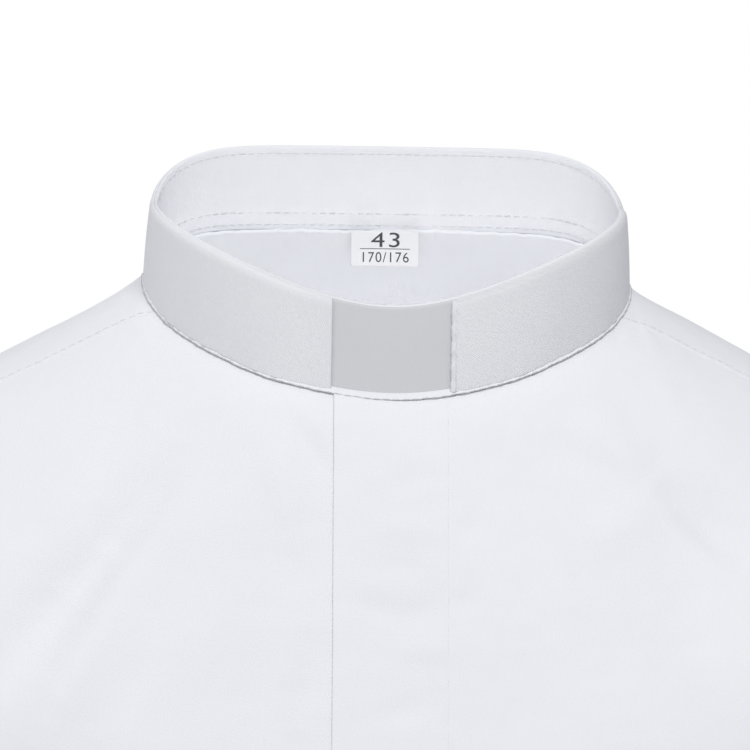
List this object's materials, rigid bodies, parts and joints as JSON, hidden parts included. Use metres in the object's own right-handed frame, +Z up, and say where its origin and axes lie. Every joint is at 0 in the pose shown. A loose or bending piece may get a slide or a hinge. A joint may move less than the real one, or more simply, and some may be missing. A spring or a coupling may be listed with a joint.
{
  "type": "clergy shirt",
  "caption": "Long-sleeved clergy shirt with a stiff tab collar, covered front placket, back yoke and buttoned cuffs; filled out, hollow and open at neck, hem and cuffs.",
  "frame": {"origin": "middle of the neck opening, level with the collar seam at the sides of the neck, where the wearer's neck holds the shirt", "axes": "+Z up, the front of the shirt faces -Y, +X is the wearer's left"},
  "size_m": [0.6732, 0.2506, 0.8006],
  "materials": {
    "shirt_cloth": "white cotton poplin, matt",
    "collar_cloth": "white fused collar cloth with a fine twill, matt",
    "tab_plastic": "white stiff tab, satin",
    "tag_satin": "white woven satin tag",
    "button_plastic": "white shirt button, gloss"
  },
  "bodies": {
    "root": {"front_left": "shirt_cloth", "front_right": "shirt_cloth", "back": "shirt_cloth", "yoke": "shirt_cloth", "placket": "shirt_cloth", "collar_stand": "collar_cloth", "collar_fall": "collar_cloth", "collar_tab": "tab_plastic", "size_tag": "tag_satin", "sleeve_left": "shirt_cloth", "sleeve_right": "shirt_cloth", "cuff_left": "shirt_cloth", "cuff_right": "shirt_cloth", "sleeve_slit_left": "shirt_cloth", "sleeve_slit_right": "shirt_cloth", "cuff_button_left": "button_plastic", "cuff_button_right": "button_plastic", "slit_button_left": "button_plastic", "slit_button_right": "button_plastic"}
  },
  "joints": []
}
